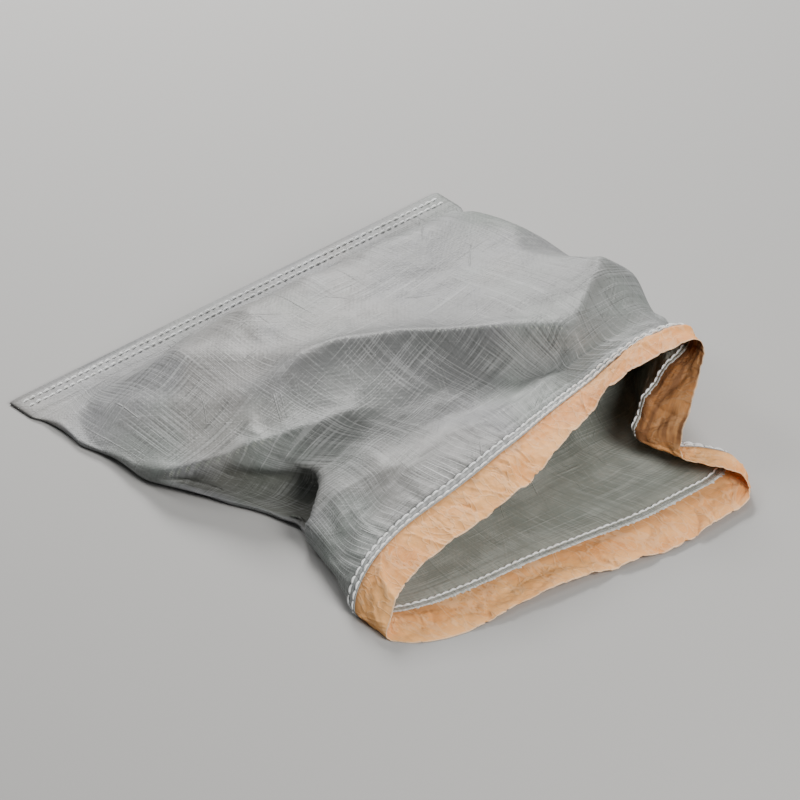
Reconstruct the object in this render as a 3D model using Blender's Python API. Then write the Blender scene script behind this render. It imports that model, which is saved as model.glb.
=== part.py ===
# Cement bag: an empty open-mouth sack of coated woven cloth, lying on its side on a
# level floor with its mouth open towards +X. Metres, +Z up.
import bpy
import math
import numpy as np

for old in list(bpy.data.objects):
    bpy.data.objects.remove(old, do_unlink=True)

MM = 0.001

# flat pattern of the bag, millimetres
FLAT_WIDTH = 500.0
FLAT_LENGTH = 530.0
# kraft paper band round the mouth
BAND_WIDTH = 45.0
BAND_THICK = 1.1
# cloth
CLOTH_THICK = 1.0
HEM_PLY = 0.8
INNER_PLY_SHORT = 3.0
END_SEAM_WIDTH = 28.0
END_SEAM_THICK = 2.4
# sewing thread
THREAD_DIA = 0.9
THREAD_ROW_GAP = 8.0
THREAD_EDGE = 3.0
# air left between parts that are separate solids
CLEAR = 0.3
# the flat size and the band that the shape below was drawn for
DRAWN_WIDTH = 500.0
DRAWN_LENGTH = 530.0
DRAWN_BAND = 45.0
# how the mesh is divided
AROUND = 68
OUTER_ROWS = 25
INNER_ROWS = 21

PERIMETER = 2.0 * FLAT_WIDTH
HEM_EDGE = FLAT_LENGTH - BAND_WIDTH
INNER_EDGE = HEM_EDGE - INNER_PLY_SHORT
SLOT_HALF = BAND_THICK / 2 + CLEAR
HEM_HALF = SLOT_HALF + HEM_PLY
STITCH_FRONT = HEM_EDGE - THREAD_EDGE
STITCH_REAR = STITCH_FRONT - THREAD_ROW_GAP
STITCH_INNER = INNER_EDGE - THREAD_EDGE - 1.0
# the rear row of stitches catches the edge of the paper tucked into the hem
SLOT_FLOOR = STITCH_REAR
BAND_ROOT = SLOT_FLOOR + CLEAR
HEM_START = HEM_EDGE - 20.0
# the band leaves the hem straight for this far
HEM_STRAIGHT = 8.0
CLOTH_HALF = CLOTH_THICK / 2
THREAD_RADIUS = THREAD_DIA / 2
THREAD_LIFT = HEM_HALF + CLEAR + THREAD_RADIUS + 0.1
# the inner row stands off a little more, because it turns on the inside of the corners
INNER_LIFT = THREAD_LIFT + 0.15
CAVITY_START = END_SEAM_WIDTH + END_SEAM_THICK

# Shape of the bag as it lies. Each point is (u, v, x, y, z) in millimetres: u is the way
# round the bag from the near bottom corner, v the way from the closed end to the mouth,
# both on the flat bag, and x, y, z is where that spot of cloth lies.
LIP = [
    (0, 176, -234, 5), (28, 195, -221, 2), (55, 207, -199, 2), (92, 215, -164, 4),
    (144, 219, -116, 7), (183, 223, -78, 8), (222, 230, -40, 8), (295, 244, 32, 8),
    (352, 243, 88, 8), (380, 240, 121, 9), (407, 218, 133, 17), (434, 196, 119, 20),
    (461, 173, 107, 21), (481, 161, 117, 30), (515, 148, 141, 51), (545, 134, 163, 68),
    (560, 125, 175, 73), (572, 116, 180, 80), (584, 112, 170, 83), (604, 106, 147, 79),
    (638, 101, 109, 73), (668, 108, 79, 68), (725, 124, 24, 62), (800, 145, -47, 56),
    (858, 150, -105, 48), (910, 149, -156, 38), (960, 159, -205, 28),
    (985, 172, -228, 14),
]
HEM = [
    (0, 134, -233, 6), (28, 148, -219, 3), (55, 162, -195, 2), (92, 171, -159, 2),
    (144, 177, -113, 2), (222, 186, -36, 2), (295, 199, 42, 2), (352, 200, 103, 3),
    (380, 199, 135, 7), (407, 187, 149, 14), (434, 163, 130, 18), (461, 141, 107, 18),
    (481, 127, 96, 24), (515, 113, 119, 43), (545, 102, 155, 56), (560, 99, 176, 60),
    (572, 93, 192, 64), (584, 79, 197, 70), (606, 70, 172, 69), (638, 67, 130, 62),
    (668, 71, 95, 56), (725, 88, 20, 59), (800, 104, -42, 62), (858, 108, -100, 52),
    (910, 107, -152, 41), (960, 120, -204, 32), (985, 128, -226, 18),
]
NEAR_EDGE = [
    (0, 30, -268, -249, 2), (0, 95, -205, -246, 4), (0, 165, -137, -236, 5),
    (0, 187, -116, -232, 6), (0, 205, -99, -225, 5), (0, 260, -55, -208, 4),
    (0, 315, -8, -190, 4), (0, 331, 6, -185, 4), (0, 347, 20, -190, 4),
    (0, 400, 69, -208, 8), (0, 450, 105, -222, 8),
]
FAR_EDGE = [
    (500, 30, -264, 244, 2), (500, 120, -180, 246, 4), (500, 220, -85, 244, 8),
    (500, 320, 2, 222, 12), (500, 410, 66, 160, 26), (470, 450, 110, 120, 20),
]
REAR_ROLL = [
    (570, 30, -266, 175, 2.5), (710, 30, -266, 36, 2.5), (850, 30, -266, -103, 2.5),
    (965, 30, -266, -215, 2.5), (545, 115, -206, 215, 41), (600, 115, -206, 150, 56),
    (650, 115, -212, 95, 54), (720, 115, -218, 25, 52), (790, 115, -220, -45, 48),
    (865, 115, -217, -125, 41), (930, 110, -212, -190, 24),
]
NEAR_RIDGE = [
    (975, 185, -115, -232, 18), (945, 205, -93, -213, 28), (915, 225, -70, -183, 38),
    (885, 245, -54, -156, 47), (845, 268, -32, -112, 55), (800, 300, -8, -57, 57),
]
GUSSET = [
    (960, 250, -50, -196, 12), (935, 290, -16, -165, 14), (900, 305, 0, -130, 24),
    (860, 318, 8, -100, 38), (960, 320, 12, -178, 14), (930, 345, 30, -160, 32),
    (880, 350, 42, -120, 46), (970, 380, 60, -200, 20), (930, 420, 75, -175, 36),
    (860, 420, 60, -105, 52),
]
MID_RIDGE = [
    (780, 226, -99, -31, 65), (745, 255, -75, 3, 68), (720, 280, -51, 25, 69),
    (690, 315, -25, 58, 71), (660, 350, 2, 92, 73), (640, 375, 18, 110, 74),
    (630, 390, 31, 119, 71),
]
MID_VALLEY = [
    (655, 385, 27, 100, 60), (700, 370, 20, 61, 55), (740, 355, 14, 27, 52),
    (770, 335, 5, -10, 51), (700, 425, 48, 58, 60), (770, 425, 60, -15, 62),
    (640, 430, 45, 105, 60),
]
FAR_HUMP = [
    (610, 355, -3, 156, 74), (570, 320, -31, 205, 80), (540, 340, -10, 222, 66),
    (545, 390, 32, 205, 56), (555, 430, 54, 200, 60), (590, 240, -110, 170, 68),
    (560, 200, -140, 208, 58), (640, 220, -120, 110, 60), (700, 190, -140, 40, 56),
    (820, 170, -150, -90, 50), (900, 160, -145, -165, 34),
]
# lower ply on the floor: (v, x, y of its near edge, y of its far edge)
UNDERSIDE = [
    (30, -266, -248, 243), (120, -180, -242, 243), (220, -85, -222, 238),
    (320, 10, -190, 222), (410, 95, -215, 178),
]
# places round the bag where it folds sharply
FOLDS = (0, 385, 461, 500, 572, 985)
# closed end: x of the edge at the near and the far corner, and y of both corners
END_X_NEAR = -296.0
END_X_FAR = -292.0
END_Y_NEAR = -250.0
END_Y_FAR = 245.0
# points of the list lower than this lie flat on the floor
ON_FLOOR = 2.5
ACROSS = FLAT_WIDTH / DRAWN_WIDTH
ALONG = FLAT_LENGTH / DRAWN_LENGTH
END_X = END_X_NEAR * ALONG
END_NEAR = END_Y_NEAR * ACROSS
END_FAR = END_Y_FAR * ACROSS
# side folds and the seam: how far apart the plies stand, and over what distance they part
FOLD_SPREAD = 2.6
FOLD_OPENING = 3.0
FOLD_REACH = FLAT_WIDTH / 62
SEAM_OPENING = 45.0
# the hem thickens over this distance behind its stitches
HEM_SWELL = 40.0
# lengths over which the surface is measured and eased
STEP = FLAT_LENGTH / 177
EASE_START = END_SEAM_WIDTH + 12.0
EASE_FULL = END_SEAM_WIDTH + 82.0
WIDE_SPACING = PERIMETER / 42
TIGHT_SPACING = PERIMETER / 143
TIGHT_REACH = PERIMETER / 62


def control_points():
    """All the points (u, v, x, y, z), drawn out to the flat size."""
    lip = np.array(LIP, dtype=float)
    rows = [(u, DRAWN_LENGTH, x, y, z) for u, x, y, z in LIP]
    for u, x, y, z in HEM:
        edge = [np.interp(u, lip[:, 0], lip[:, k]) for k in (1, 2, 3)]
        share = BAND_WIDTH / (DRAWN_BAND * ALONG)
        x, y, z = (e + (h - e) * share for e, h in zip(edge, (x, y, z)))
        rows.append((u, HEM_EDGE / ALONG, x, y, z))
    inner = NEAR_EDGE + FAR_EDGE + REAR_ROLL + NEAR_RIDGE + GUSSET
    rows += inner + MID_RIDGE + MID_VALLEY + FAR_HUMP
    for v, x, y_near, y_far in UNDERSIDE:
        for part in (0.12, 0.28, 0.44, 0.6, 0.76, 0.88):
            rows.append((part * DRAWN_WIDTH, v, x, y_near + (y_far - y_near) * part, 1.5))
    for step in range(8):
        part = step / 8.0
        x = END_X_NEAR + (END_X_FAR - END_X_NEAR) * part
        y = END_Y_NEAR + (END_Y_FAR - END_Y_NEAR) * part
        rows.append((part * DRAWN_WIDTH, 0, x, y, 1.5))
        x = END_X_FAR + (END_X_NEAR - END_X_FAR) * part
        y = END_Y_FAR + (END_Y_NEAR - END_Y_FAR) * part
        rows.append((DRAWN_WIDTH + part * DRAWN_WIDTH, 0, x, y, 1.5))
    return np.array(rows, dtype=float) * (ACROSS, ALONG, ALONG, ACROSS, ACROSS)


def smooth_through(flat, place):
    """Smooth surface through the control points, the same after one turn of u."""
    flat = np.concatenate([flat + [-PERIMETER, 0], flat, flat + [PERIMETER, 0]])
    place = np.concatenate([place] * 3)
    margin = 0.3 * PERIMETER
    keep = (flat[:, 0] > -margin) & (flat[:, 0] < PERIMETER + margin)
    flat = flat[keep] / PERIMETER
    place = place[keep]
    count = len(flat)
    reach = np.linalg.norm(flat[:, None] - flat[None], axis=-1)
    system = np.zeros((count + 3, count + 3))
    system[:count, :count] = reach ** 1.5
    system[:count, count] = 1.0
    system[:count, count + 1:] = flat
    system[count, :count] = 1.0
    system[count + 1:, :count] = flat.T
    target = np.zeros((count + 3, 3))
    target[:count] = place
    weights = np.linalg.solve(system, target)

    def surface(u, v):
        spot = np.stack([np.asarray(u, float), np.asarray(v, float)], axis=-1) / PERIMETER
        reach = np.linalg.norm(spot[..., None, :] - flat, axis=-1)
        linear = weights[count] + spot[..., :1] * weights[count + 1]
        linear = linear + spot[..., 1:] * weights[count + 2]
        return (reach ** 1.5) @ weights[:count] + linear

    return surface


def ramp(value, start, end):
    part = np.clip((np.asarray(value, float) - start) / (end - start), 0.0, 1.0)
    return part * part * (3.0 - 2.0 * part)


def half_thickness(v):
    swell = ramp(v, HEM_START - HEM_SWELL / 2, HEM_START)
    return CLOTH_HALF + (HEM_HALF - CLOTH_HALF) * swell


points = control_points()
free_surface = smooth_through(points[:, :2], points[:, 2:])
HEM_REST = THREAD_LIFT + THREAD_RADIUS + 0.1
LIP_REST = BAND_THICK / 2 + 0.2


def middle(u, v):
    """Middle of the cloth, resting on the floor where the bag touches it."""
    u = np.asarray(u, float)
    v = np.asarray(v, float)
    place = free_surface(u, v)
    rest = CLOTH_HALF + (HEM_REST - CLOTH_HALF) * ramp(v, HEM_START - HEM_SWELL, HEM_START)
    rest = rest + (LIP_REST - HEM_REST) * ramp(v, HEM_EDGE, FLAT_LENGTH)
    height = rest + np.maximum(place[..., 2] - ON_FLOOR, 0.0)
    # the two plies are held apart by a rounded fold along both side edges
    from_fold = np.minimum(np.mod(u, FLAT_WIDTH), FLAT_WIDTH - np.mod(u, FLAT_WIDTH))
    upper = np.mod(u, PERIMETER) > FLAT_WIDTH
    open_up = ramp(v, END_SEAM_WIDTH, END_SEAM_WIDTH + SEAM_OPENING)
    spread = FOLD_SPREAD + FOLD_OPENING * open_up
    least = rest + spread * np.sqrt(np.clip(from_fold / FOLD_REACH, 0.0, 1.0))
    height = np.where(upper, np.maximum(height, least), height)
    fold_lift = rest + 0.5 * spread
    at_fold = from_fold < 0.01
    height = np.where(at_fold, np.maximum(height, fold_lift), height)
    return np.stack([place[..., 0], place[..., 1], height], axis=-1)


def stations_around():
    """Places round the bag, closer together where it folds sharply."""
    half = 1000
    fine = np.linspace(0.0, PERIMETER, 2 * half, endpoint=False)
    density = np.full(len(fine), 1.0 / WIDE_SPACING)
    for fold in FOLDS:
        away = np.abs(fine - fold * ACROSS)
        away = np.minimum(away, PERIMETER - away)
        peak = 1.0 / TIGHT_SPACING - 1.0 / WIDE_SPACING
        density += peak * np.exp(-(away / TIGHT_REACH) ** 2)
    total = np.concatenate([[0.0], np.cumsum(density)])
    fine = np.append(fine, PERIMETER)
    count = AROUND // 2
    lower = np.interp(np.linspace(0, total[half], count + 1), total[:half + 1], fine[:half + 1])
    upper = np.interp(np.linspace(total[half], total[-1], count + 1), total[half:], fine[half:])
    return np.concatenate([lower[:-1], upper[:-1]])


U = stations_around()


def eased(values, place, amount, times):
    """Values round the bag, each drawn towards its neighbours."""
    for _ in range(times):
        before = np.roll(place, 1, axis=0)
        after = np.roll(place, -1, axis=0)
        near = 1.0 / np.linalg.norm(before - place, axis=1, keepdims=True)
        far = 1.0 / np.linalg.norm(after - place, axis=1, keepdims=True)
        mean = (np.roll(values, 1, axis=0) * near + np.roll(values, -1, axis=0) * far)
        values = values + (mean / (near + far) - values) * amount
    return values


def course(v):
    """Middle of the cloth once round the bag, its sharpest corners eased."""
    place = middle(U, np.full(len(U), float(v)))
    amount = 0.5 * float(ramp(v, EASE_START, EASE_FULL))
    return eased(place, place, amount, 4)


def square_to(place, toward_mouth):
    """Direction away from the inside of the bag at each point of one course."""
    around = np.roll(place, -1, axis=0) - np.roll(place, 1, axis=0)
    normal = np.cross(around, toward_mouth)
    return normal / np.linalg.norm(normal, axis=1, keepdims=True)


HEM_FRONT = course(HEM_EDGE)
HEM_WAY = eased(HEM_FRONT - course(HEM_START), HEM_FRONT, 0.5, 12)
HEM_WAY /= np.linalg.norm(HEM_WAY, axis=1, keepdims=True)
HEM_BACK = HEM_FRONT - HEM_WAY * (HEM_EDGE - HEM_START)
HEM_OUT = square_to((HEM_BACK + HEM_FRONT) / 2, HEM_FRONT - HEM_BACK)
# lengthened where the hem turns sharply, so that its plies keep their thickness
after_turn = np.cross(np.roll(HEM_FRONT, -1, axis=0) - HEM_FRONT, HEM_WAY)
after_turn /= np.linalg.norm(after_turn, axis=1, keepdims=True)
before_turn = np.roll(after_turn, 1, axis=0)
slant = np.minimum((HEM_OUT * after_turn).sum(axis=1), (HEM_OUT * before_turn).sum(axis=1))
HEM_OUT = HEM_OUT / np.clip(slant, 0.62, 1.0)[:, None]


def ring(v, offset):
    """Points round the bag at one place along it; the hem is straight from back to front."""
    if HEM_START <= v <= HEM_EDGE + HEM_STRAIGHT:
        part = (v - HEM_START) / (HEM_EDGE - HEM_START)
        return HEM_BACK + (HEM_FRONT - HEM_BACK) * part + HEM_OUT * offset
    place = course(v)
    toward_mouth = course(min(v + STEP, FLAT_LENGTH)) - course(v - STEP)
    return place + square_to(place, toward_mouth) * offset


class Mesh:
    def __init__(self):
        self.points = []
        self.faces = []

    def add(self, rows):
        start = len(self.points)
        self.points.extend([tuple(p) for p in rows])
        return list(range(start, start + len(rows)))

    def join(self, first, second, forward=True):
        """Strip between two loops; forward when the second lies nearer the mouth."""
        count = len(first)
        for i in range(count):
            j = (i + 1) % count
            if forward:
                self.faces.append((first[i], first[j], second[j]))
                self.faces.append((first[i], second[j], second[i]))
            else:
                self.faces.append((first[i], first[j], second[i]))
                self.faces.append((first[j], second[j], second[i]))

    def close_flat(self, loop, flip):
        count = len(loop)
        for i in range(count // 2):
            a, b = loop[i], loop[i + 1]
            c, d = loop[count - i - 1], loop[(count - i) % count]
            face = [a, b, c, d]
            if i == 0:
                face = [a, b, c]
            if i + 1 == count // 2:
                face = [a, b, d]
            self.faces.append(tuple(reversed(face)) if flip else tuple(face))


def cloth_mesh():
    mesh = Mesh()
    outer_v = np.concatenate([[0.0, END_SEAM_WIDTH * 0.5, END_SEAM_WIDTH],
                              np.linspace(END_SEAM_WIDTH + SEAM_OPENING / 3,
                                          HEM_START - HEM_SWELL * 0.6, OUTER_ROWS - 8),
                              [HEM_START - HEM_SWELL / 4, HEM_START, SLOT_FLOOR, STITCH_INNER,
                               INNER_EDGE, HEM_EDGE]])
    loops = []
    toward_mouth = []
    for v in outer_v:
        toward_mouth.append(True)
        if v <= END_SEAM_WIDTH:
            base = np.zeros((len(U), 3))
            top = U > FLAT_WIDTH
            side = (U == 0.0) | (U == FLAT_WIDTH)
            base[:, 2] = np.where(top, END_SEAM_THICK, 0.0)
            base[side, 2] = END_SEAM_THICK / 2
            edge = END_NEAR + (END_FAR - END_NEAR) * np.where(
                top, (PERIMETER - U) / FLAT_WIDTH, U / FLAT_WIDTH)
            base[:, 1] = edge
            base[:, 0] = END_X + v
            loops.append(mesh.add(base))
        else:
            half = float(half_thickness(v))
            loops.append(mesh.add(ring(v, half)))
    slot = [(HEM_EDGE, SLOT_HALF, True), (INNER_EDGE, SLOT_HALF, False),
            (STITCH_INNER, SLOT_HALF, False), (SLOT_FLOOR, SLOT_HALF, False),
            (SLOT_FLOOR, -SLOT_HALF, True), (STITCH_INNER, -SLOT_HALF, True),
            (INNER_EDGE, -SLOT_HALF, True), (INNER_EDGE, -HEM_HALF, True)]
    for v, offset, forward in slot:
        loops.append(mesh.add(ring(v, offset)))
        toward_mouth.append(forward)
    inner_v = np.concatenate([[STITCH_INNER, SLOT_FLOOR, HEM_START, HEM_START - HEM_SWELL / 4],
                              np.linspace(HEM_START - HEM_SWELL * 0.6, CAVITY_START,
                                          INNER_ROWS - 3)])
    for v in inner_v:
        loops.append(mesh.add(ring(v, -float(half_thickness(v)))))
        toward_mouth.append(False)
    for first, second, forward in zip(loops[:-1], loops[1:], toward_mouth[1:]):
        mesh.join(first, second, forward)
    mesh.close_flat(loops[0], True)
    mesh.close_flat(loops[-1], False)
    return mesh


def band_mesh():
    mesh = Mesh()
    half = BAND_THICK / 2
    out_v = [BAND_ROOT, STITCH_INNER, INNER_EDGE, HEM_EDGE, HEM_EDGE + HEM_STRAIGHT,
             HEM_EDGE + BAND_WIDTH * 0.4, HEM_EDGE + BAND_WIDTH * 0.7, FLAT_LENGTH]
    loops = [mesh.add(ring(v, half)) for v in out_v]
    loops += [mesh.add(ring(v, -half)) for v in reversed(out_v)]
    count = len(out_v)
    for i, (first, second) in enumerate(zip(loops, loops[1:] + loops[:1])):
        mesh.join(first, second, i < count)
    return mesh


SIDES = 5


def thread_ring(v, offset):
    """Endless thread round the mouth, beside the cloth."""
    mesh = Mesh()
    loops = []
    for k in range(SIDES):
        turn = 2 * math.pi * k / SIDES
        across = THREAD_RADIUS * math.sin(turn)
        lift = offset + THREAD_RADIUS * math.cos(turn)
        loops.append(mesh.add(ring(v + across, lift)))
    for first, second in zip(loops, loops[1:] + loops[:1]):
        mesh.join(first, second)
    return mesh


def thread_bar(x, y_near, y_far, z):
    """Straight thread along the closed end."""
    mesh = Mesh()
    count = 24
    loops = []
    for k in range(SIDES):
        turn = 2 * math.pi * k / SIDES
        ys = np.linspace(y_near, y_far, count)
        rows = np.stack([np.full(count, x + THREAD_RADIUS * math.sin(turn)), ys,
                         np.full(count, z + THREAD_RADIUS * math.cos(turn))], axis=-1)
        loops.append(mesh.add(rows))
    for first, second in zip(loops, loops[1:] + loops[:1]):
        for i in range(count - 1):
            mesh.faces.append((first[i], first[i + 1], second[i + 1], second[i]))
    mesh.faces.append(tuple(loop[0] for loop in loops))
    mesh.faces.append(tuple(loop[-1] for loop in reversed(loops)))
    return mesh


def material(name, colour, roughness):
    made = bpy.data.materials.new(name)
    made.use_nodes = True
    shader = made.node_tree.nodes["Principled BSDF"]
    shader.inputs["Base Color"].default_value = (*colour, 1.0)
    shader.inputs["Roughness"].default_value = roughness
    return made


def place_object(name, mesh, look):
    data = bpy.data.meshes.new(name)
    spots = (np.array(mesh.points) - origin) * MM
    data.from_pydata([tuple(p) for p in spots], [], mesh.faces)
    data.validate()
    data.update()
    volume = 0.0
    data.calc_loop_triangles()
    for tri in data.loop_triangles:
        a, b, c = (data.vertices[i].co for i in tri.vertices)
        volume += a.dot(b.cross(c))
    if volume < 0:
        data.flip_normals()
    for face in data.polygons:
        face.use_smooth = True
    made = bpy.data.objects.new(name, data)
    data.materials.append(look)
    bpy.context.scene.collection.objects.link(made)
    return made


cloth = cloth_mesh()
band = band_mesh()
end_thread_z = END_SEAM_THICK + CLEAR + THREAD_RADIUS
end_row_one = END_X + THREAD_ROW_GAP
end_near = END_NEAR + THREAD_ROW_GAP
end_far = END_FAR - THREAD_ROW_GAP
threads = {
    "mouth_stitch_front": thread_ring(STITCH_FRONT, THREAD_LIFT),
    "mouth_stitch_rear": thread_ring(STITCH_REAR, THREAD_LIFT),
    "mouth_stitch_inner": thread_ring(STITCH_INNER, -INNER_LIFT),
    "end_stitch_outer": thread_bar(end_row_one, end_near, end_far, end_thread_z),
    "end_stitch_inner": thread_bar(end_row_one + THREAD_ROW_GAP, end_near, end_far,
                                   end_thread_z),
}

# origin in the middle of the bag's footprint, on the floor
every = np.concatenate([np.array(m.points) for m in [cloth, band, *threads.values()]])
low = every.min(axis=0)
high = every.max(axis=0)
origin = np.array([(low[0] + high[0]) / 2, (low[1] + high[1]) / 2, low[2]])

grey_cloth = material("coated_woven_cloth", (0.33, 0.34, 0.33), 0.5)
kraft_paper = material("kraft_paper", (0.60, 0.36, 0.19), 0.8)
white_thread = material("white_thread", (0.78, 0.80, 0.80), 0.7)

place_object("bag_cloth", cloth, grey_cloth)
place_object("mouth_band", band, kraft_paper)
for name, mesh in threads.items():
    place_object(name, mesh, white_thread)
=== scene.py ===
import bpy
import math
import numpy as np
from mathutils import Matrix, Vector


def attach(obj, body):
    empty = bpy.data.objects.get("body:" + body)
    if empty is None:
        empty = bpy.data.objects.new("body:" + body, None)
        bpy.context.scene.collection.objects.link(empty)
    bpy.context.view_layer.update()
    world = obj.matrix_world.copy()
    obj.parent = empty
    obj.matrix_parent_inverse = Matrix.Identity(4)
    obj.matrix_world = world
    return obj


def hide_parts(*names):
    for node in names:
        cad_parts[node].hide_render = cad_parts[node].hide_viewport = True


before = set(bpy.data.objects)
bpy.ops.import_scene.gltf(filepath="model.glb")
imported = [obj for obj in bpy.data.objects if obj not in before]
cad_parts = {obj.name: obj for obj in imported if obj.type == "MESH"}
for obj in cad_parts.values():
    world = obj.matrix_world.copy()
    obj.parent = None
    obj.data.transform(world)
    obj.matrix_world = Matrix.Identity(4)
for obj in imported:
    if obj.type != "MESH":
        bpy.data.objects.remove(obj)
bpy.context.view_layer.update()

# View and light
# The bag is seen from above its open mouth, through a long lens from a good way off, on
# a plain pale floor under an overcast sky with a soft light from behind.
VIEW_TURN = math.radians(48.0)
VIEW_TILT = math.radians(35.0)
VIEW_DISTANCE = 7.0
VIEW_WIDTH = 0.69
VIEW_CENTRE = Vector((-0.036, -0.004, 0.012))
toward_camera = Vector((math.sin(VIEW_TURN) * math.cos(VIEW_TILT),
                        -math.cos(VIEW_TURN) * math.cos(VIEW_TILT), math.sin(VIEW_TILT)))


def add_object(name, data):
    made = bpy.data.objects.new(name, data)
    bpy.context.scene.collection.objects.link(made)
    return made


def level_square(name, reach):
    mesh = bpy.data.meshes.new(name)
    corners = [(-reach, -reach, 0), (reach, -reach, 0), (reach, reach, 0), (-reach, reach, 0)]
    mesh.from_pydata(corners, [], [(0, 1, 2, 3)])
    return add_object(name, mesh)


def add_light(name, place, size, power, colour):
    lamp = bpy.data.lights.new(name, "AREA")
    lamp.size = size
    lamp.energy = power
    lamp.color = colour
    made = add_object(name, lamp)
    made.location = place
    made.rotation_euler = Vector(place).to_track_quat("Z", "Y").to_euler()


lens = bpy.data.cameras.new("view")
lens.sensor_width = 36.0
lens.lens = lens.sensor_width * VIEW_DISTANCE / VIEW_WIDTH
lens.clip_end = 50.0
camera = add_object("view", lens)
camera.location = VIEW_CENTRE + toward_camera * VIEW_DISTANCE
camera.rotation_euler = toward_camera.to_track_quat("Z", "Y").to_euler()
bpy.context.scene.camera = camera

add_light("sky_above", (0.2, 0.2, 2.4), 1.5, 12.0, (1.0, 0.99, 0.975))
add_light("sky_behind", (-1.9, 1.3, 1.25), 0.7, 90.0, (1.0, 0.985, 0.965))
add_light("sky_left", (-2.0, -0.4, 1.5), 0.8, 20.0, (1.0, 0.99, 0.97))
add_light("sky_front", (2.0, 0.2, 1.4), 1.0, 60.0, (1.0, 0.98, 0.95))
sky = bpy.data.worlds.new("sky")
sky.use_nodes = True
air = sky.node_tree.nodes["Background"].inputs
air["Color"].default_value = (0.96, 0.98, 1.0, 1.0)
air["Strength"].default_value = 0.10
bpy.context.scene.world = sky

FLOOR_REACH = 4.0
floor = level_square("floor", FLOOR_REACH)
plain = bpy.data.materials.new("pale_floor")
plain.use_nodes = True
paint = plain.node_tree.nodes["Principled BSDF"].inputs
paint["Base Color"].default_value = (0.395, 0.393, 0.387, 1)
paint["Roughness"].default_value = 0.75
floor.data.materials.append(plain)

# Bag of coated woven cloth
# One tube of woven tapes coated with film, 500 mm wide when flat, folded over and sewn at
# the closed end and left open at the mouth. It lies where it was thrown, slumped on its
# lower ply, with its upper ply pulled into folds.
MM = 0.001
FLAT_WIDTH = 500.0
FLAT_LENGTH = 530.0
PERIMETER = 2.0 * FLAT_WIDTH
BAND_WIDTH = 45.0
HEM_EDGE = FLAT_LENGTH - BAND_WIDTH
HEM_START = HEM_EDGE - 21.0
SLOT_FLOOR = HEM_EDGE - 11.0
INNER_EDGE = HEM_EDGE - 4.0
END_FOLD = 28.0
# middle of the bag's footprint in the points below
FOOT = np.array((-26.514, -2.5, 0.0))

# Each point is (u, v, x, y, z) in millimetres: u the way round the bag from its near
# bottom corner, v the way from the closed end to the mouth, and where that spot lies. The
# points of the lip and of the hem are given without v.
LIP = [
    (0, 176, -234, 5), (28, 195, -221, 2), (55, 207, -199, 2), (92, 215, -164, 4),
    (144, 219, -116, 7), (183, 223, -78, 8), (222, 230, -40, 8), (295, 244, 32, 8),
    (352, 243, 88, 8), (380, 240, 121, 9), (407, 218, 133, 17), (434, 196, 119, 20),
    (461, 173, 107, 21), (481, 161, 117, 30), (515, 148, 141, 51), (545, 134, 163, 68),
    (560, 125, 175, 73), (572, 116, 180, 80), (584, 112, 170, 83), (604, 106, 147, 79),
    (638, 101, 109, 73), (668, 108, 79, 68), (725, 124, 24, 62), (800, 145, -47, 56),
    (858, 150, -105, 48), (910, 149, -156, 38), (960, 159, -205, 28),
    (985, 172, -228, 14),
]
HEM = [
    (0, 134, -233, 6), (28, 148, -219, 3), (55, 162, -195, 2), (92, 171, -159, 2),
    (144, 177, -113, 2), (222, 186, -36, 2), (295, 199, 42, 2), (352, 200, 103, 3),
    (380, 199, 135, 7), (407, 187, 149, 14), (434, 163, 130, 18), (461, 141, 107, 18),
    (481, 127, 96, 24), (515, 113, 119, 43), (545, 102, 155, 56), (560, 99, 176, 60),
    (572, 93, 192, 64), (584, 79, 197, 70), (606, 70, 172, 69), (638, 67, 130, 62),
    (668, 71, 95, 56), (725, 88, 20, 59), (800, 104, -42, 62), (858, 108, -100, 52),
    (910, 107, -152, 41), (960, 120, -204, 32), (985, 128, -226, 18),
]
NEAR_EDGE = [
    (0, 30, -268, -249, 2), (0, 95, -205, -246, 4), (0, 165, -137, -236, 5),
    (0, 187, -116, -232, 6), (0, 205, -99, -225, 5), (0, 260, -55, -208, 4),
    (0, 315, -8, -190, 4), (0, 331, 6, -185, 4), (0, 347, 20, -190, 4),
    (0, 400, 69, -208, 8), (0, 450, 105, -222, 8),
]
FAR_EDGE = [
    (500, 30, -264, 244, 2), (500, 120, -180, 246, 4), (500, 220, -85, 244, 8),
    (500, 320, 2, 222, 12), (500, 410, 66, 160, 26), (470, 450, 110, 120, 20),
]
REAR_ROLL = [
    (570, 30, -266, 175, 2.5), (710, 30, -266, 36, 2.5), (850, 30, -266, -103, 2.5),
    (965, 30, -266, -215, 2.5), (545, 115, -206, 215, 45), (600, 115, -206, 150, 64),
    (650, 115, -212, 95, 62), (720, 115, -218, 25, 60), (790, 115, -220, -45, 56),
    (865, 115, -217, -125, 48), (930, 110, -212, -190, 28),
]
NEAR_RIDGE = [
    (975, 185, -115, -232, 16), (945, 205, -93, -213, 24), (915, 225, -70, -183, 34),
    (885, 245, -54, -156, 43), (845, 268, -32, -112, 51), (800, 300, -8, -57, 54),
]
GUSSET = [
    (960, 250, -50, -196, 14), (935, 290, -16, -165, 18), (900, 305, 0, -130, 37),
    (860, 318, 8, -100, 48), (960, 320, 12, -178, 14), (930, 345, 30, -160, 35),
    (880, 350, 42, -120, 52), (970, 380, 60, -200, 20), (930, 420, 75, -175, 36),
    (860, 420, 60, -105, 52),
]
MID_RIDGE = [
    (780, 226, -99, -31, 62), (745, 255, -75, 3, 64), (720, 280, -51, 25, 65),
    (690, 315, -25, 58, 67), (660, 350, 2, 92, 69), (640, 375, 18, 110, 70),
    (630, 390, 31, 119, 67),
]
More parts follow.
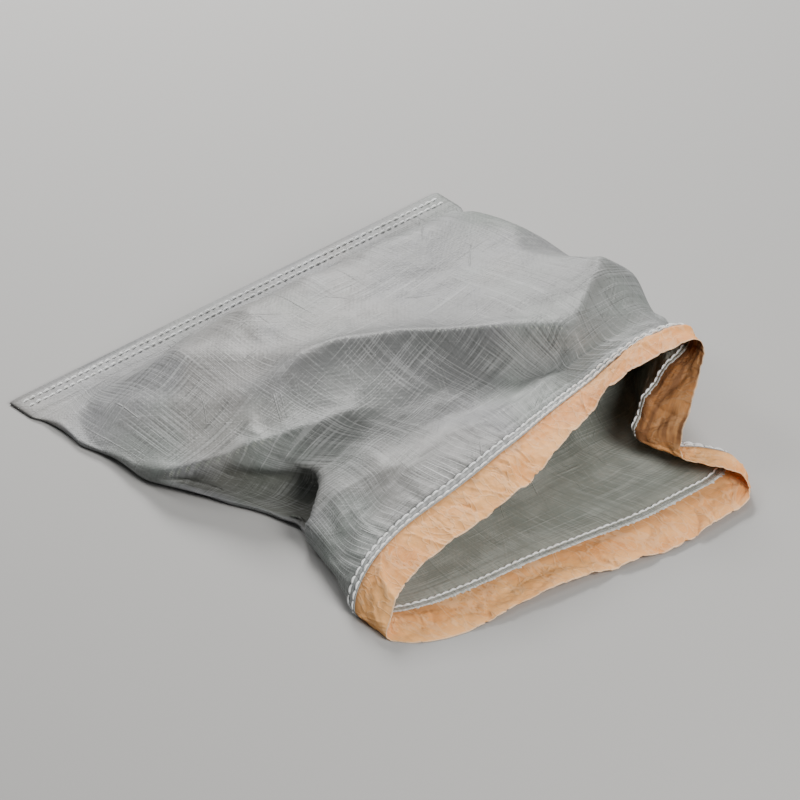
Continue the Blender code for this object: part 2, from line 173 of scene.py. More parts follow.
MID_VALLEY = [
    (655, 385, 27, 100, 58), (700, 370, 20, 61, 49), (740, 355, 14, 27, 48),
    (770, 335, 5, -10, 53), (700, 425, 48, 58, 60), (770, 425, 60, -15, 62),
    (640, 430, 45, 105, 60),
]
FAR_HUMP = [
    (610, 355, -3, 156, 74), (570, 320, -31, 205, 80), (540, 340, -10, 222, 66),
    (545, 390, 32, 205, 56), (555, 430, 54, 200, 60), (590, 240, -110, 170, 72),
    (560, 200, -140, 208, 62), (640, 220, -120, 110, 66), (700, 190, -140, 40, 62),
    (820, 170, -150, -90, 56), (900, 160, -145, -165, 38),
]
# Sharp folds of the upper ply: the places (u, v) that each runs through, its height, and
# how far it falls away behind it and on the side of the mouth.
FOLDS = [
    ([(986, 186), (946, 208), (913, 228), (890, 244)], 6.0, 40.0, 9.0),
    ([(930, 218), (878, 252), (843, 266), (814, 283)], 5.5, 40.0, 22.0),
    ([(836, 201), (815, 205), (797, 212), (770, 235), (734, 261), (700, 295), (672, 333),
      (645, 368), (632, 388)], 9.0, 34.0, 28.0),
    ([(632, 386), (630, 377), (617, 361), (602, 349), (587, 337), (572, 318)], 5.0, 22.0, 18.0),
    ([(905, 270), (910, 286), (921, 304), (940, 323), (966, 345), (990, 360)], 8.5, 5.0, 30.0),
]
# the cloth is drawn in below the near fold
GUSSET_CORNERS = [(982, 190), (930, 222), (908, 284), (932, 319), (966, 345), (992, 330)]
GUSSET_DEPTH = 10.0
# lower ply on the floor: v, x, y of its near edge, y of its far edge
UNDERSIDE = [
    (30, -266, -248, 243), (120, -180, -242, 243), (220, -85, -222, 238),
    (320, 10, -190, 222), (410, 95, -215, 178),
]
END_NEAR = np.array((-296.0, -250.0))
END_FAR = np.array((-292.0, 245.0))
# heights up to ON_FLOOR mean that the cloth rests, its middle CLOTH_REST above the floor
FLOOR_SPOT = 1.5
ON_FLOOR = 2.5
CLOTH_REST = 0.6
# the doubled hem lies higher than that, and the paper band lower than the hem
HEM_RAISE = 1.1
BAND_DROP = 0.9
# gap between the plies at the closed end, how much the body adds, and width of a side fold
PLY_GAP = 1.6
BODY_GAP = 3.0
SIDE_FOLD = 8.0


def spots_on_bag():
    rows = [(u, FLAT_LENGTH, x, y, z) for u, x, y, z in LIP]
    rows += [(u, HEM_EDGE, x, y, z) for u, x, y, z in HEM]
    rows += NEAR_EDGE + FAR_EDGE + REAR_ROLL + NEAR_RIDGE + GUSSET
    rows += MID_RIDGE + MID_VALLEY + FAR_HUMP
    for v, x, near, far in UNDERSIDE:
        for part in (0.12, 0.28, 0.44, 0.6, 0.76, 0.88):
            rows.append((part * FLAT_WIDTH, v, x, near + (far - near) * part, FLOOR_SPOT))
    for part in np.arange(8) / 8.0:
        for ply, start, end in ((0, END_NEAR, END_FAR), (1, END_FAR, END_NEAR)):
            x, y = start + (end - start) * part
            rows.append(((ply + part) * FLAT_WIDTH, 0, x, y, FLOOR_SPOT))
    return np.array(rows, dtype=float)


# how a spot's pull falls off with distance in the smooth surface
PULL_POWER = 1.5


def smooth_through(flat, place):
    """Smooth surface through the spots, the same after one turn of u."""
    flat = np.concatenate([flat + [-PERIMETER, 0], flat, flat + [PERIMETER, 0]])
    place = np.concatenate([place] * 3)
    keep = (flat[:, 0] > -0.3 * PERIMETER) & (flat[:, 0] < 1.3 * PERIMETER)
    flat = flat[keep] / PERIMETER
    place = place[keep]
    count = len(flat)
    reach = np.linalg.norm(flat[:, None] - flat[None], axis=-1)
    system = np.zeros((count + 3, count + 3))
    system[:count, :count] = reach ** PULL_POWER
    system[:count, count] = 1.0
    system[:count, count + 1:] = flat
    system[count, :count] = 1.0
    system[count + 1:, :count] = flat.T
    target = np.zeros((count + 3, 3))
    target[:count] = place
    weights = np.linalg.solve(system, target)

    def surface(u, v):
        spot = np.stack([u, v], axis=-1) / PERIMETER
        reach = np.linalg.norm(spot[..., None, :] - flat, axis=-1)
        linear = weights[count] + spot[..., :1] * weights[count + 1]
        linear = linear + spot[..., 1:] * weights[count + 2]
        return (reach ** PULL_POWER) @ weights[:count] + linear

    return surface


def ramp(value, start, end):
    part = np.clip((np.asarray(value, float) - start) / (end - start), 0.0, 1.0)
    return part * part * (3.0 - 2.0 * part)


def from_side_fold(u):
    return np.minimum(np.mod(u, FLAT_WIDTH), FLAT_WIDTH - np.mod(u, FLAT_WIDTH))


def rest_on_floor(u, v, place):
    """Middle of the cloth kept above the floor, and the two plies apart at the side folds."""
    rest = CLOTH_REST + HEM_RAISE * ramp(v, HEM_START - 30, HEM_START)
    rest = rest - BAND_DROP * ramp(v, HEM_EDGE, FLAT_LENGTH)
    upper = np.mod(u, PERIMETER) > FLAT_WIDTH
    spread = PLY_GAP + BODY_GAP * ramp(v, END_FOLD, END_FOLD + 45)
    least = rest + spread * np.sqrt(np.clip(from_side_fold(u) / SIDE_FOLD, 0.0, 1.0))
    at_fold = rest + 0.5 * spread
    low = np.where(upper, least, rest)
    low = np.where(from_side_fold(u) < 0.01, at_fold, low)
    held = np.array(place)
    held[..., 2] = np.maximum(held[..., 2], low)
    return held


spots = spots_on_bag()
drawn = smooth_through(spots[:, :2], spots[:, 2:] - FOOT)


def closed_end(u, v):
    """The folded-over end, flat on the floor."""
    upper = u > FLAT_WIDTH
    part = np.where(upper, (PERIMETER - u) / FLAT_WIDTH, u / FLAT_WIDTH)
    edge = END_NEAR + (END_FAR - END_NEAR) * part[..., None] - FOOT[:2]
    height = np.where(upper, 1.9, 0.5)
    return np.stack([edge[..., 0] + v, edge[..., 1], height], axis=-1)


def lying(u, v):
    place = drawn(u, v)
    place[..., 2] = CLOTH_REST + np.maximum(place[..., 2] - ON_FLOOR, 0.0)
    place = rest_on_floor(u, v, place)
    blend = ramp(v, END_FOLD, END_FOLD + 14)[..., None]
    return closed_end(u, v) * (1 - blend) + place * blend


def beside(points, u, v):
    """Distance from a line on the flat bag, more than 0 towards the mouth, and along it."""
    points = np.array(points, dtype=float)
    nearest = np.full(u.shape, 1e9)
    side = np.ones(u.shape)
    along = np.zeros(u.shape)
    count = len(points) - 1
    for k, (start, end) in enumerate(zip(points[:-1], points[1:])):
        way = end - start
        part = ((u - start[0]) * way[0] + (v - start[1]) * way[1]) / (way @ way)
        held = np.clip(part, 0.0, 1.0)
        gap = np.hypot(u - start[0] - held * way[0], v - start[1] - held * way[1])
        turn = (v - start[1]) * way[0] - (u - start[0]) * way[1]
        closer = gap < nearest
        side = np.where(closer, np.where(turn * np.sign(way[0]) > 0, 1.0, -1.0), side)
        along = np.where(closer, (k + held) / count, along)
        nearest = np.minimum(nearest, gap)
    return nearest * side, along


def in_gusset(u, v):
    """1 in the drawn-in hollow below the near fold, 0 outside it."""
    corners = np.array(GUSSET_CORNERS, dtype=float)
    inside = np.full(u.shape, 1e9)
    centre = corners.mean(axis=0)
    for start, end in zip(corners, np.roll(corners, -1, axis=0)):
        way = (end - start) / np.linalg.norm(end - start)
        gap = (v - start[1]) * way[0] - (u - start[0]) * way[1]
        middle_gap = (centre[1] - start[1]) * way[0] - (centre[0] - start[0]) * way[1]
        inside = np.minimum(inside, gap * np.sign(middle_gap))
    return ramp(inside, -3.0, 9.0)


def folded(u, v, sharp=1.0):
    """How far the folds lift the cloth."""
    lift = np.zeros(u.shape)
    for points, height, behind, before in FOLDS:
        gap, along = beside(points, u, v)
        fall = np.where(gap < 0, behind, before) * sharp
        # a fold is lower at its two ends
        tapered = np.minimum(1.0, 4.0 * np.minimum(along + 0.12, 1.12 - along))
        lift += height * np.exp(-np.abs(gap) / fall) * tapered
    return lift - GUSSET_DEPTH * in_gusset(u, v)


def outward(place):
    """Direction away from the inside of the bag at each point of a grid."""
    around = np.roll(place, -1, axis=1) - np.roll(place, 1, axis=1)
    along = np.gradient(place, axis=0)
    normal = np.cross(around, along)
    return normal / np.linalg.norm(normal, axis=-1, keepdims=True)


# The cloth is let go as a simulated sheet: its ridges, hem and closed end are held where
# they lie, and the cloth between them finds its own length and creases.
SIM_AROUND = 160
SIM_ALONG = 84
SIM_FRAMES = 36
SIM_SCALE = 0.01
SIM_CLOTH = {
    "quality": 8, "mass": 0.15, "tension_stiffness": 40, "compression_stiffness": 40,
    "shear_stiffness": 12, "bending_stiffness": 0.6, "tension_damping": 10,
    "compression_damping": 10, "shear_damping": 10, "air_damping": 3, "pin_stiffness": 8,
    "vertex_group_mass": "held",
}
SIM_TOUCH = {"collision_quality": 2, "distance_min": 0.01, "use_self_collision": False}
SIM_GRAVITY = 0.6
GROUND_REACH = 8.0
GROUND_SKIN = 0.005
# how firmly each part is held, from 0 to 1 in HOLD_STEPS steps
HEM_HOLD = 0.4
LIP_HOLD = 0.9
UNDER_HOLD = 0.2
FOLD_HOLD = 0.5
HOLD_STEPS = 20
# radius in millimetres that a fold and a spot hold, and width left free at a side fold
FOLD_RADIUS = 7.0
SPOT_RADIUS = 13.0
UNDER_EDGE = 20.0
sim_u = np.arange(SIM_AROUND) * PERIMETER / SIM_AROUND
sim_v = np.linspace(0.0, FLAT_LENGTH, SIM_ALONG + 1)
sim_uu, sim_vv = np.meshgrid(sim_u, sim_v)
laid = lying(sim_uu, sim_vv)
laid = laid + outward(laid) * folded(sim_uu, sim_vv)[..., None]
laid = rest_on_floor(sim_uu, sim_vv, laid)


def let_go(laid):
    """Cloth simulation of the laid shape; decimetres, so that the solver's steps suit."""
    index = np.arange(laid.shape[0] * SIM_AROUND).reshape(laid.shape[0], SIM_AROUND)
    right = np.roll(index, -1, axis=1)
    quads = np.stack([index[:-1], index[1:], right[1:], right[:-1]], axis=-1).reshape(-1, 4)
    mesh = bpy.data.meshes.new("cloth_trial")
    mesh.from_pydata((laid.reshape(-1, 3) * SIM_SCALE).tolist(), [], quads.tolist())
    trial = add_object("cloth_trial", mesh)
    trial.shape_key_add(name="Basis")
    flat = trial.shape_key_add(name="cut")
    turn = 2 * math.pi * sim_uu / PERIMETER
    radius = PERIMETER / (2 * math.pi)
    tube = np.stack([sim_vv, radius * np.cos(turn), radius * np.sin(turn)], -1) * SIM_SCALE
    flat.data.foreach_set("co", tube.reshape(-1).astype(np.float32))
    flat.value = 0.0

    held = np.zeros(laid.shape[:2])
    held[sim_v <= END_FOLD] = 1.0
    held[sim_v > HEM_START] = HEM_HOLD
    held[-1] = LIP_HOLD
    under = (sim_uu < FLAT_WIDTH - UNDER_EDGE) & (sim_uu > UNDER_EDGE) & (sim_vv > END_FOLD)
    held[under] = np.maximum(held[under], UNDER_HOLD)
    for points, *_ in FOLDS:
        gap, _ = beside(points, sim_uu, sim_vv)
        held = np.maximum(held, FOLD_HOLD * np.exp(-(gap / FOLD_RADIUS) ** 2))
    holds = ((MID_VALLEY, 0.4), (GUSSET, 0.4), (FAR_HUMP, 0.25), (REAR_ROLL, 0.15),
             (NEAR_EDGE, 0.5))
    for points, strength in holds:
        for u, v, *_ in points:
            away = np.abs(sim_uu - u)
            away = np.minimum(away, PERIMETER - away)
            near = np.exp(-(away ** 2 + (sim_vv - v) ** 2) / SPOT_RADIUS ** 2)
            held = np.maximum(held, strength * near)
    group = trial.vertex_groups.new(name="held")
    for step in range(1, HOLD_STEPS + 1):
        chosen = index[np.round(held * HOLD_STEPS) == step].tolist()
        group.add(chosen, step / HOLD_STEPS, "REPLACE")

    ground = level_square("ground_trial", GROUND_REACH)
    ground.modifiers.new("stop", "COLLISION")
    ground.collision.thickness_outer = GROUND_SKIN

    falling = trial.modifiers.new("falling", "CLOTH")
    for settings, values in ((falling.settings, SIM_CLOTH),
                             (falling.collision_settings, SIM_TOUCH)):
        for name, value in values.items():
            setattr(settings, name, value)
    falling.settings.rest_shape_key = flat
    falling.settings.effector_weights.gravity = SIM_GRAVITY
    falling.point_cache.frame_end = SIM_FRAMES
    scene = bpy.context.scene
    for step in range(1, SIM_FRAMES + 1):
        scene.frame_set(step)
    done = trial.evaluated_get(bpy.context.evaluated_depsgraph_get())
    shaken = np.zeros(laid.size)
    done.data.vertices.foreach_get("co", shaken)
    scene.frame_set(1)
    for used in (trial, ground):
        data = used.data
        bpy.data.objects.remove(used, do_unlink=True)
        bpy.data.meshes.remove(data)
    return shaken.reshape(laid.shape) / SIM_SCALE


# the real bag keeps more fullness than a settled sheet, so no spot moves further than this
SETTLE_LIMIT = 11.0

settled = let_go(laid)
if np.isfinite(settled).all():
    moved = settled - laid
    far = np.linalg.norm(moved, axis=-1)
    free = (1 - 0.9 * ramp(sim_vv, HEM_START - 45, HEM_START)) / (1 + far / SETTLE_LIMIT)
    laid = rest_on_floor(sim_uu, sim_vv, laid + moved * free[..., None])

# Every later piece reads this fine grid of the settled cloth: one row each 2 mm from the
# closed end to the lip, closed round the bag.
AROUND = 400
ROW_STEP = 2.0
grid_u = np.arange(AROUND) * PERIMETER / AROUND
grid_v = np.arange(0.0, FLAT_LENGTH + 0.1, ROW_STEP)
uu, vv = np.meshgrid(grid_u, grid_v)


def curve_weights(part):
    """Weights of four neighbouring points on a smooth curve through them."""
    return np.stack([((2 - part) * part - 1) * part / 2, ((3 * part - 5) * part * part + 2) / 2,
                     ((4 - 3 * part) * part + 1) * part / 2, (part - 1) * part * part / 2])


def finer(coarse):
    spot = grid_v / (FLAT_LENGTH / SIM_ALONG)
    row = np.minimum(spot.astype(int), SIM_ALONG - 1)
    weight = curve_weights(spot - row)
    out = 0
    for k in range(4):
        at = np.clip(row + k - 1, 0, SIM_ALONG)
        out = out + coarse[at] * weight[k][:, None, None]
    spot = grid_u / (PERIMETER / SIM_AROUND)
    column = spot.astype(int)
    weight = curve_weights(spot - column)
    wide = 0
    for k in range(4):
        wide = wide + out[:, (column + k - 1) % SIM_AROUND] * weight[k][None, :, None]
    return wide


def dents(u, v, size, stretch, seed):
    """Bowls with crisp ridges between them, like cloth that was crushed and let go."""
    wide = int(round(PERIMETER / size))
    long = int(round(FLAT_LENGTH * stretch / size))
    pick = np.random.default_rng(seed)
    shift = pick.random((long + 3, wide, 3))
    sway = 0.22 * np.sin(v / size * 1.7 + seed)
    sway += 0.12 * np.sin(u * 2 * math.pi * 9 / PERIMETER)
    x = np.mod(u + size * sway, PERIMETER) / PERIMETER * wide
    y = (v + 0.2 * size * np.sin(u * 2 * math.pi * 7 / PERIMETER + seed)) / FLAT_LENGTH * long + 1
    column = np.floor(x).astype(int)
    row = np.clip(np.floor(y).astype(int), 1, long + 1)
    nearest = np.full(x.shape, 9.0)
    for i in (-1, 0, 1):
        for j in (-1, 0, 1):
            place = shift[row + j, (column + i) % wide]
            away = (x - column - i - place[..., 0]) ** 2 + (y - row - j - place[..., 1]) ** 2
            nearest = np.minimum(nearest, away + 0.25 * place[..., 2])
    return nearest - nearest.mean()


def across_from(u, centre, lean, back):
    """How far u lies round the bag from a leaning line."""
    gap = u - centre - lean * back
    return np.mod(gap + PERIMETER / 2, PERIMETER) - PERIMETER / 2


# height, size, stretch and seed of each layer of crush marks
CRUSH_MARKS = [(2.2, 70.0, 1.2, 3), (1.2, 34.0, 0.8, 11), (0.35, 15.0, 1.4, 23)]
GATHERS = 170
# share and fall of the sharpened crests, and height of the wrinkles in the lower ply
CREST_SHARE = 0.3
CREST_FALL = 0.22
WRINKLE_HEIGHT = 4.5
# places (u), heights and widths of the pleats in the far wall
PLEATS = [(489, -2.0, 4.0), (503, 1.8, 3.5), (517, -2.2, 4.0), (531, 1.6, 3.0), (547, -1.6, 4.0)]
fine = finer(laid)
fine = rest_on_floor(uu, vv, fine)
away = outward(fine)
# crush marks fade out at the flat closed end, at the hem and where the bag rests on the floor
loose = ramp(vv, END_FOLD, END_FOLD + 30) * (1 - ramp(vv, HEM_EDGE - 45, HEM_EDGE - 12))
resting = np.where((uu < FLAT_WIDTH), ramp(fine[..., 2], 1.5, 6.0), 1.0)
crush = sum(height * dents(uu, vv, *mark) for height, *mark in CRUSH_MARKS)
# gathers drawn in by the stitches run back from the hem
pick = np.random.default_rng(41)
gather = np.zeros(uu.shape)
for _ in range(GATHERS):
    centre = pick.random() * PERIMETER
    reach = 18 + 40 * pick.random() ** 1.5
    width = 1.6 + 1.4 * pick.random()
    height = 0.35 + 0.55 * pick.random()
    lean = 0.2 * (pick.random() - 0.5)
    across = across_from(uu, centre, lean, HEM_EDGE - vv)
    back = HEM_START + 6 - vv
    shape = ramp(back, -16, 0) * np.exp(-(np.maximum(back, 0) / reach) ** 2)
    gather += height * shape * np.exp(-(across / width) ** 2)
crisp = CREST_SHARE * folded(uu, vv, CREST_FALL) * ramp(uu, 505, 530)
# the far wall beside the mouth hangs in pleats
pleats = np.zeros(uu.shape)
for centre, height, width in PLEATS:
    pleats += height * np.exp(-np.abs(uu - centre) / width)
pleats *= ramp(vv, 330, 420)
# soft wrinkles lift the lower ply off the floor inside the mouth
wrinkles = np.maximum(dents(uu, vv, 62.0, 0.55, 71), 0.0) * ramp(vv, 150, 260) * loose
lift = (crush * loose + gather + crisp + pleats) * resting
lift = lift - WRINKLE_HEIGHT * wrinkles * (1 - resting)
fine = rest_on_floor(uu, vv, fine + away * lift[..., None])
away = outward(fine)


def ring(v, offset, around=AROUND, stand=0.0, lowest=0.0):
    """Points once round the bag at v, moved out from the middle of the cloth; where the
    sheet itself stands off that middle, it stays above its lowest height."""
    row_spot = np.clip(np.broadcast_to(v, around) / ROW_STEP, 0, len(grid_v) - 1.0001)
    row = row_spot.astype(int)
    down = (row_spot - row)[:, None]
    spot = np.arange(around) * AROUND / around
    column = spot.astype(int)
    place = 0
    way = 0
    for k, weight in enumerate(curve_weights(spot - column)):
        at = (column + k - 1) % AROUND
        weight = weight[:, None]
        place = place + (fine[row, at] * (1 - down) + fine[row + 1, at] * down) * weight
        way = way + (away[row, at] * (1 - down) + away[row + 1, at] * down) * weight
    place = place + way * np.reshape(stand, (-1, 1))
    place[:, 2] = np.maximum(place[:, 2], lowest)
    return place + way * np.reshape(offset, (-1, 1))


class Shell:
    """Closed skin made of loops round the bag."""

    def __init__(self, around=AROUND):
        self.around = around
        self.u = np.arange(around) * PERIMETER / around
        self.points = []
        self.faces = []
        self.flats = []
        self.inside = []
        self.before = None

    def loop(self, v, offset, inside, stand=0.0, lowest=0.0):
        start = len(self.points)
        self.points.extend(ring(v, offset, self.around, stand, lowest))
        self.flats.extend(np.broadcast_to(v, self.around))
        self.inside.extend([inside] * self.around)
        if self.before is not None:
            self.join(self.before, start)
        self.before = start
        return start

    def join(self, first, second):
        for i in range(self.around):
            j = (i + 1) % self.around
            self.faces.append((first + i, first + j, second + j, second + i))

    def close(self, start, flip):
        """Closes the first or last loop, whose plies lie on each other."""
        half = self.around // 2
        for i in range(half):
            near = [start + i, start + i + 1]
            far = [start + self.around - i - 1, start + (self.around - i) % self.around]
            face = near + far
            if i == 0:
                face = near + far[:1]
            if i + 1 == half:
                face = near + far[1:]
            self.faces.append(tuple(reversed(face)) if flip else tuple(face))

    def object(self, name, look):
        mesh = bpy.data.meshes.new(name)
        spots = np.array(self.points) * MM
        # no skin dips below the floor
        spots[:, 2] = np.maximum(spots[:, 2], 0.0001)
        mesh.from_pydata(spots.tolist(), [], self.faces)
        mesh.update()
        corner = np.zeros(len(mesh.loops), dtype=int)
        mesh.loops.foreach_get("vertex_index", corner)
        column = corner % self.around
        u = self.u[column]
        # the last cell of each row ends at the full way round
        sides = np.zeros(len(mesh.polygons), dtype=int)
        mesh.polygons.foreach_get("loop_total", sides)
        owner = np.repeat(np.arange(len(sides)), sides)
        last = np.zeros(len(sides), dtype=int)
        np.maximum.at(last, owner, column)
        u = np.where((column == 0) & (last[owner] == self.around - 1), PERIMETER, u)
        sheet_map = mesh.uv_layers.new(name="flat")
        v = np.array(self.flats)[corner]
        sheet_map.uv.foreach_set("vector", np.stack([u, v], -1).reshape(-1) * MM)
        all_round = np.tile(self.u, len(self.points) // self.around)
        # per point: 1 on the inside, and the gusset mask that the cloth's colour darkens as
        # painted shade
        for title, values in (("inside", np.array(self.inside, dtype=float)),
                              ("gusset_shade", in_gusset(all_round, np.array(self.flats)))):
            mesh.attributes.new(title, "FLOAT", "POINT").data.foreach_set("value", values)
        mesh.polygons.foreach_set("use_smooth", [True] * len(mesh.polygons))
        mesh.materials.append(look)
        return add_object(name, mesh)


class Value:
    """A number that varies over a surface; maths on it adds Math nodes."""

    def __init__(self, look, socket):
        self.look = look
        self.socket = socket

    def maths(self, operation, *numbers):
        return self.look.add("ShaderNodeMath", {"operation": operation}, dict(enumerate(numbers)))

    def __add__(self, other):
        return self.maths("ADD", self, other)

    __radd__ = __add__

    def __sub__(self, other):
        return self.maths("SUBTRACT", self, other)

    def __rsub__(self, other):
        return self.maths("SUBTRACT", other, self)

    def __mul__(self, other):
        return self.maths("MULTIPLY", self, other)

    __rmul__ = __mul__

    def __truediv__(self, other):
        return self.maths("DIVIDE", self, other)

    def __pow__(self, other):
        return self.maths("POWER", self, other)

    def wave(self):
        return self.maths("SINE", self)

    def size(self):
        return self.maths("ABSOLUTE", self)

    def clear_of(self, low, high):
        """0 below low, 1 above high, with a soft step between."""
        return self.look.add("ShaderNodeMapRange", {"interpolation_type": "SMOOTHSTEP"},
                             {"Value": self, "From Min": low, "From Max": high})


class Look:
    """A procedural material."""

    def __init__(self, name):
        self.material = bpy.data.materials.new(name)
        self.material.use_nodes = True
        self.tree = self.material.node_tree
        self.shader = self.tree.nodes["Principled BSDF"]

    def add(self, kind, settings, sockets, out=0):
        node = self.tree.nodes.new(kind)
        for name, value in settings.items():
            setattr(node, name, value)
        for name, value in sockets.items():
            self.feed(node.inputs[name], value)
        return Value(self, node.outputs[out])

    def feed(self, socket, value):
        if isinstance(value, Value):
            self.tree.links.new(value.socket, socket)
        else:
            socket.default_value = value

    def on_object(self):
        return self.add("ShaderNodeTexCoord", {}, {}, "Object")

    def on_sheet(self):
        """Place on the flat sheet in metres: X round the bag, Y towards the mouth."""
        return self.add("ShaderNodeUVMap", {"uv_map": "flat"}, {}, "UV")

    def part(self, where, axis):
        return self.add("ShaderNodeSeparateXYZ", {}, {"Vector": where}, axis)

    def stored(self, name):
        return self.add("ShaderNodeAttribute", {"attribute_name": name}, {}, "Fac")

    def mix(self, share, first, second):
        """Mix of two colours; 6, 7 and 2 are the Mix node's colour sockets."""
        sockets = {0: share, 6: first, 7: second}
        return self.add("ShaderNodeMix", {"data_type": "RGBA"}, sockets, 2)

    def coats(self, base, *over):
        """A colour with others laid over it, each by its share."""
        base = (*base, 1)
        for share, colour in over:
            base = self.mix(share, base, (*colour, 1))
        return base

    def noise(self, scale, detail, where, roughness=0.5):
        return self.add("ShaderNodeTexNoise", {}, {"Vector": where, "Scale": scale,
                                                   "Detail": detail, "Roughness": roughness})

    def bump(self, height, strength, distance, over=None):
        sockets = {"Height": height, "Strength": strength, "Distance": distance}
        if over is not None:
            sockets["Normal"] = over
        return self.add("ShaderNodeBump", {}, sockets, "Normal")

    def stretched(self, where, x, y, turn=0.0):
        """Coordinates turned and then stretched."""
        turned = self.add("ShaderNodeMapping", {}, {"Vector": where, "Rotation": (0, 0, turn)})
        return self.add("ShaderNodeMapping", {}, {"Vector": turned, "Scale": (x, y, 1.0)})

    def set(self, **values):
        for name, value in values.items():
            self.feed(self.shader.inputs[name.replace("_", " ")], value)


# all in metres on the flat sheet: tapes and puckers, and the places (v) of the hem's back
# edge and of the painted shadow lines in the grooves beside its two rows of stitches
TAPE_WIDTH = 0.0025
PUCKER_PITCH = 0.0058
HEM_BACK = 0.4740
REAR_GROOVE_SHADOW = 0.4722
FRONT_GROOVE_SHADOW = 0.4800
# directions and seeds of the crush lines, and for the fine ones their limit and share
LINE_WAYS = ((0.0, 3.0), (1.5708, 8.0), (0.62, 14.0), (-0.70, 21.0))
LINE_LIMITS = (0.515, 0.515, 0.60, 0.60)
LINE_SHARES = (1.0, 1.0, 0.45, 0.45)


def woven_cloth_look():
    """Grey tapes in plain weave under a thin film, with crush marks."""
    look = Look("coated_woven_cloth")
    place = look.on_object()
    flat = look.on_sheet()
    u = look.part(flat, "X")
    v = look.part(flat, "Y")
    inside = look.stored("inside")
    gusset_shade = look.stored("gusset_shade")
    tapes = 1.0 / TAPE_WIDTH
    weave = (u * (tapes * math.pi)).wave() * (v * (tapes * math.pi)).wave()
    # the film is whitened along fine straight lines, mostly along the tapes, some across
    # them, and dirt has settled in others
    light = 0.0
    dark = 0.0
    for (turn, seed), low, share in zip(LINE_WAYS, LINE_LIMITS, LINE_SHARES):
        field = look.noise(1.0, 1.0, look.stretched(flat, 620.0, 5.0, turn), 0.5)
        patch = look.noise(20.0, 3.0, look.stretched(flat, 1.0, 1.0, seed), 0.7)
        patch = (patch.clear_of(0.38, 0.64) * 0.75 + 0.25) * share
        light = field.clear_of(low, low + 0.10) * patch + light
        dark = (1 - field.clear_of(0.36, 0.44)) * patch + dark
    light = light.clear_of(0.0, 1.3)
    dark = dark.clear_of(0.0, 1.6)
    # folds that were pressed in and opened again leave longer whitened lines
    lines = 0.0
    for turn, seed in LINE_WAYS:
        field = look.noise(1.0, 1.0, look.stretched(flat, 260.0, 4.0, turn))
        patch = look.noise(15.0, 2.0, look.stretched(flat, 1.0, 1.0, seed))
        lines = field.clear_of(0.66, 0.74) * patch.clear_of(0.50, 0.62) + lines
    lines = lines.clear_of(0.0, 1.0)
    # the needle draws up sets of light puckers behind the hem, some short, some long
    waver = look.noise(1.0, 2.0, look.stretched(flat, 60.0, 9.0))
    pucker = (u * (2 * math.pi / PUCKER_PITCH) + waver * 9.0).wave().clear_of(0.80, 1.0)
    reach = look.noise(1.0, 2.0, look.stretched(flat, 75.0, 0.5))
    pucker = pucker * (v + reach * 0.16).clear_of(0.480, 0.502) * (1 - v.clear_of(0.470, 0.474))
    bunch = look.noise(13.0, 1.0, look.stretched(flat, 1.0, 0.1)).clear_of(0.46, 0.58)
    middle = u.clear_of(0.63, 0.70) * (1 - u.clear_of(0.84, 0.90))
    pucker = pucker * (bunch * 0.8 + 0.2) * (middle * 0.8 + 0.2)
    # painted shadow: each row of stitches has a dark line beside it for the shadow in its
    # groove, with pale cloth between the two rows
    hem = v.clear_of(HEM_BACK - 0.0004, HEM_BACK + 0.0006)
    groove_shadow = 1 - (v - REAR_GROOVE_SHADOW).size().clear_of(0.0004, 0.0011)
    groove_shadow = groove_shadow + (1 - (v - FRONT_GROOVE_SHADOW).size().clear_of(0.0003, 0.0009)) * 0.7

    # stains and shades of the grey
    blotch = look.noise(9.0, 4.0, place, 0.6)
    mottle = look.noise(34.0, 5.0, place, 0.65)
    green = look.noise(6.0, 3.0, look.stretched(place, 1.0, 1.3, 0.6), 0.5)
    warm = look.noise(7.0, 3.0, look.stretched(place, 1.2, 1.0, 2.1), 0.5)
    # painted shade: the hollow below the middle fold is darkened, as shade that falls there
    soil_and_shade = ((u - 0.775) / 0.12) ** 2.0 + ((v - 0.280) / 0.090) ** 2.0
    soil_and_shade = 1 - soil_and_shade.clear_of(0.3, 1.3)
    base = look.coats(
        (0.186, 0.190, 0.197),
        (green.clear_of(0.42, 0.60), (0.178, 0.198, 0.186)),
        (warm.clear_of(0.50, 0.66) * 0.7, (0.212, 0.204, 0.192)),
        (blotch.clear_of(0.42, 0.68) * 0.5, (0.250, 0.250, 0.250)),
        (mottle.clear_of(0.52, 0.74) * 0.5, (0.125, 0.128, 0.122)),
        # painted shade in the hollow below the middle fold
        (soil_and_shade * 0.70, (0.085, 0.089, 0.088)),
        # painted shade: the drawn-in hollow below the near fold is darkened to a dark olive
        (gusset_shade * 0.60, (0.080, 0.084, 0.062)),
        (dark * 0.75, (0.070, 0.073, 0.071)),
        (light * 0.34, (0.42, 0.43, 0.43)),
        (lines * 0.2, (0.50, 0.51, 0.51)),
        (pucker, (0.74, 0.75, 0.75)),
        (hem * 0.5, (0.52, 0.53, 0.53)),
        # painted shadow in the grooves beside the stitch rows
        (groove_shadow * 0.8, (0.045, 0.048, 0.05)))

    # the inside is not in the light as much; its own olive tone, with a film of fine dust, is
    # painted paler than the outside, as painted light that makes up for it
    cloud = look.noise(14.0, 4.0, place, 0.6)
    inner_tone_lightened = look.coats(
        (0.225, 0.245, 0.215),
        (cloud.clear_of(0.4, 0.65), (0.325, 0.345, 0.310)),
        (light * 0.3, (0.56, 0.58, 0.54)),
        (dark * 0.35, (0.12, 0.13, 0.115)),
        # partly painted reflection: a warm tint near the band, partly the cloth's own tone there
        # and partly light thrown back from the paper
        (v.clear_of(0.455, 0.482) * 0.25, (0.30, 0.27, 0.20)))
    colour = look.mix(inside, base, inner_tone_lightened)

